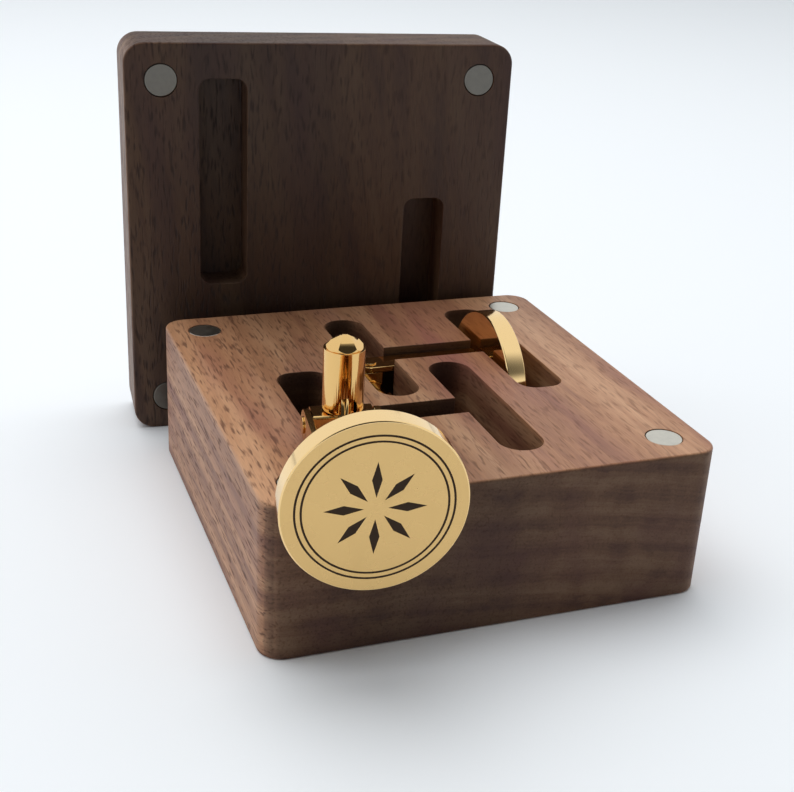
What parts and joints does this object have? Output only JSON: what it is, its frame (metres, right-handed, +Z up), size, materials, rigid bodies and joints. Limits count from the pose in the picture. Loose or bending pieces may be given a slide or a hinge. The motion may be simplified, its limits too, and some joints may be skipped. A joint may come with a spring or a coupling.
{
  "type": "cufflink display box",
  "caption": "Open two-piece walnut cufflink box with magnets, its lid standing behind it, one cufflink on show and one stored in its pocket.",
  "frame": {"origin": "centre of the base's flat underside, on the surface it rests on", "axes": "+Z up, -Y towards the front where the displayed cufflink faces, +X to the right, along the base's front edge"},
  "size_m": [0.053, 0.0723, 0.051],
  "materials": {
    "walnut": "oiled satin",
    "magnet_nickel": "dull nickel plate",
    "gold_satin": "gold plate, fine satin face and polished edge",
    "gold_polished": "mirror-polished gold plate"
  },
  "bodies": {
    "base": {"base_block": "walnut", "base_magnet_front_left": "magnet_nickel", "base_magnet_front_right": "magnet_nickel", "base_magnet_rear_left": "magnet_nickel", "base_magnet_rear_right": "magnet_nickel"},
    "lid": {"lid_block": "walnut", "lid_magnet_front_left": "magnet_nickel", "lid_magnet_front_right": "magnet_nickel", "lid_magnet_rear_left": "magnet_nickel", "lid_magnet_rear_right": "magnet_nickel"},
    "front_toggle": {"front_hub": "gold_polished", "front_barrel_a": "gold_polished", "front_barrel_b": "gold_polished", "front_cap_a": "gold_polished", "front_cap_b": "gold_polished"},
    "front_head": {"front_disc": "gold_satin", "front_fork": "gold_polished", "front_pin": "gold_polished"},
    "rear_head": {"rear_disc": "gold_satin", "rear_fork": "gold_polished", "rear_pin": "gold_polished"},
    "rear_toggle": {"rear_hub": "gold_polished", "rear_barrel_a": "gold_polished", "rear_barrel_b": "gold_polished", "rear_cap_a": "gold_polished", "rear_cap_b": "gold_polished"}
  },
  "joints": [
    {"name": "lid_lift", "type": "slide", "parent": "base", "child": "lid", "axis": [0, 0, 1], "range_m": [0, 0.06]},
    {"name": "front_lift", "type": "slide", "parent": "base", "child": "front_toggle", "axis": [0, 0, 1], "range_m": [0, 0.06]},
    {"name": "front_swing", "type": "hinge", "parent": "front_toggle", "child": "front_head", "pos_m": [-0.01365, -0.01368, 0.01957], "axis": [-0.9919, 0.1271, 0], "range_deg": [0, 92]},
    {"name": "rear_lift", "type": "slide", "parent": "base", "child": "rear_head", "axis": [0, 0, 1], "range_m": [0, 0.2]},
    {"name": "rear_turn", "type": "hinge", "parent": "rear_head", "child": "rear_toggle", "pos_m": [-0.00305, 0.00845, 0.0124], "axis": [0, 0, 1], "range_deg": [0, 90]}
  ],
  "couplings": [
    {"joint": "rear_turn", "follows": "rear_lift", "rad_per_m": 7.854}
  ]
}
